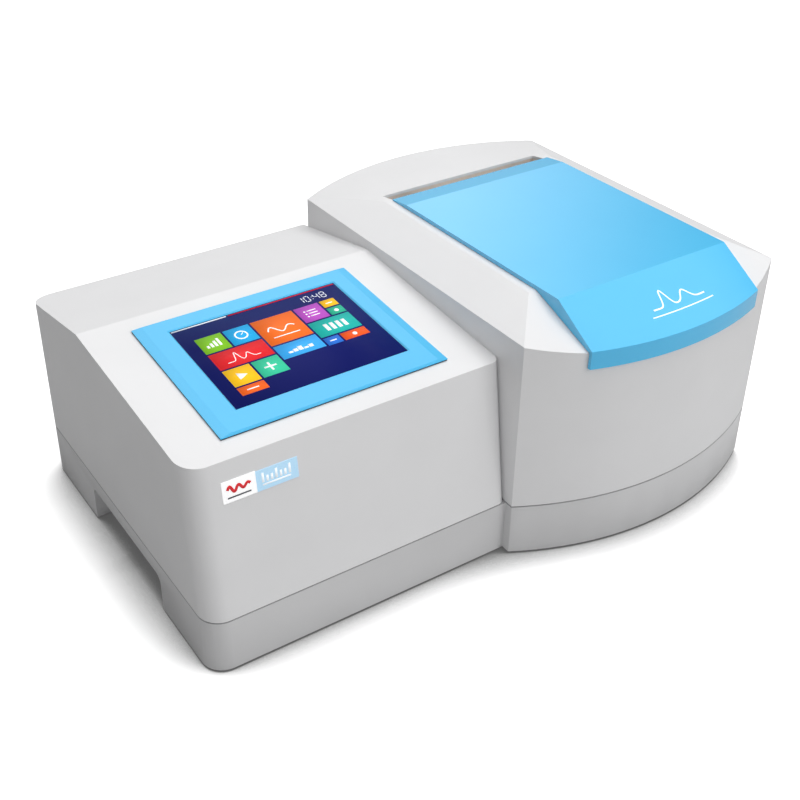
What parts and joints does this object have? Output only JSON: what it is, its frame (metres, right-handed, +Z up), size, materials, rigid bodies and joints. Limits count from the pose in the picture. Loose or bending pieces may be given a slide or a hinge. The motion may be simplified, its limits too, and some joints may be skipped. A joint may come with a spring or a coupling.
{
  "type": "uv-vis spectrophotometer",
  "caption": "Benchtop UV-Vis spectrophotometer: console with touchscreen beside a bowed compartment with a hinged blue lid over a cell changer.",
  "frame": {"origin": "centre of the bounding box on the table plane under the feet", "axes": "+X across the front from the screen console to the sample compartment, +Y to the back, +Z up"},
  "size_m": [0.6, 0.4418, 0.2455],
  "materials": {
    "base_grey": "fine moulded texture",
    "shell_white": "fine moulded texture",
    "foot_rubber": "matt rubber",
    "bezel_blue": "smooth moulded gloss",
    "screen_glass": "smooth moulded gloss",
    "module_black": "fine moulded texture",
    "label_white": "smooth moulded gloss",
    "label_blue": "smooth moulded gloss",
    "well_black": "powder coated",
    "window_quartz": "polished",
    "ring_black": "anodised or cast",
    "rod_steel": "turned or ground",
    "screw_steel": "turned or ground",
    "motor_black": "powder coated",
    "sled_black": "anodised or cast",
    "holder_black": "anodised or cast",
    "screw_head_steel": "turned or ground",
    "trough_grey": "fine moulded texture",
    "bracket_steel": "turned or ground",
    "lid_blue": "smooth moulded gloss",
    "arm_black": "fine moulded texture",
    "liner_black": "fine moulded texture",
    "seal_foam": "matt rubber",
    "bench_cast": "anodised or cast",
    "post_steel": "turned or ground",
    "case_black": "powder coated",
    "mirror_glass": "aluminised",
    "table_brass": "machined",
    "grating_glass": "aluminised",
    "lamp_house_steel": "powder coated",
    "lamp_quartz": "polished",
    "wheel_black": "anodised or cast",
    "filter_tinted": "polished",
    "tube_black": "anodised or cast",
    "detector_black": "powder coated",
    "supply_zinc": "turned or ground",
    "board_green": "fine moulded texture",
    "panel_grey": "powder coated",
    "fitting_black": "fine moulded texture",
    "rocker_black": "smooth moulded gloss",
    "socket_nickel": "nickel plated",
    "fan_black": "fine moulded texture",
    "grille_steel": "nickel plated"
  },
  "bodies": {
    "housing": {"base_tray": "base_grey", "console_shell": "shell_white", "compartment_shell": "shell_white", "rubber_feet": "foot_rubber", "touch_bezel": "bezel_blue", "touch_glass": "screen_glass", "screen_module": "module_black", "label_white": "label_white", "label_blue": "label_blue", "sample_well": "well_black", "beam_windows": "window_quartz", "window_rings": "ring_black", "guide_rods": "rod_steel", "changer_motor": "motor_black", "hinge_trough": "trough_grey", "hinge_rod": "rod_steel", "hinge_brackets": "bracket_steel", "optical_bench": "bench_cast", "bench_posts": "post_steel", "monochromator_case": "case_black", "monochromator_cover": "case_black", "focusing_mirrors": "mirror_glass", "lamp_house": "lamp_house_steel", "deuterium_lamp": "lamp_quartz", "halogen_lamp": "lamp_quartz", "beam_tube": "tube_black", "detector_module": "detector_black", "power_supply": "supply_zinc", "main_board": "board_green", "rear_panel": "panel_grey", "power_inlet": "fitting_black", "rocker_frame": "fitting_black", "fuse_holder": "fitting_black", "usb_sockets": "socket_nickel", "serial_socket": "socket_nickel", "fan_frame": "fan_black", "fan_grille": "grille_steel", "panel_screws": "screw_head_steel", "base_screws": "screw_head_steel"},
    "lid": {"lid_cover": "lid_blue", "lid_arms": "arm_black", "lid_liner": "liner_black", "lid_seal": "seal_foam", "liner_screws": "screw_head_steel"},
    "carriage": {"carriage_sled": "sled_black", "cuvette_holder": "holder_black", "holder_screws": "screw_head_steel"},
    "changer_screw": {"lead_screw": "screw_steel"},
    "rocker": {"power_rocker": "rocker_black"},
    "fuse_tray": {"fuse_drawer": "fitting_black"},
    "fan_wheel": {"fan_rotor": "fan_black"},
    "grating_turntable": {"grating_table": "table_brass", "diffraction_grating": "grating_glass"},
    "filter_disc": {"filter_wheel": "wheel_black", "filter_glasses": "filter_tinted"},
    "lamp_selector": {"source_mirror": "mirror_glass"}
  },
  "joints": [
    {"name": "lid_hinge", "type": "hinge", "parent": "housing", "child": "lid", "pos_m": [0.15, 0.102, 0.228], "axis": [-1, 0, 0], "range_deg": [0, 70]},
    {"name": "carriage_slide", "type": "slide", "parent": "housing", "child": "carriage", "axis": [0, -1, 0], "range_m": [0, 0.054]},
    {"name": "screw_turn", "type": "hinge", "parent": "housing", "child": "changer_screw", "pos_m": [0.15, -0.02, 0.112], "axis": [0, 1, 0], "range_deg": [0, 1621]},
    {"name": "rocker_tilt", "type": "hinge", "parent": "housing", "child": "rocker", "pos_m": [-0.104, 0.184, 0.092], "axis": [1, 0, 0], "range_deg": [-14, 0]},
    {"name": "fuse_drawer_slide", "type": "slide", "parent": "housing", "child": "fuse_tray", "axis": [0, 1, 0], "range_m": [0, 0.018]},
    {"name": "fan_spin", "type": "hinge", "parent": "housing", "child": "fan_wheel", "pos_m": [-0.227, 0.173, 0.13], "axis": [0, 1, 0], "continuous": true},
    {"name": "grating_turn", "type": "hinge", "parent": "housing", "child": "grating_turntable", "pos_m": [-0.095, 0.02, 0.11], "axis": [0, 0, 1], "range_deg": [-12, 40]},
    {"name": "filter_turn", "type": "hinge", "parent": "housing", "child": "filter_disc", "pos_m": [-0.184, 0.06, 0.1235], "axis": [1, 0, 0], "continuous": true},
    {"name": "lamp_mirror_turn", "type": "hinge", "parent": "housing", "child": "lamp_selector", "pos_m": [-0.216, 0.06, 0.118], "axis": [0, 0, 1], "range_deg": [0, 90]}
  ],
  "couplings": [
    {"joint": "screw_turn", "follows": "carriage_slide", "rad_per_m": 523.6}
  ]
}
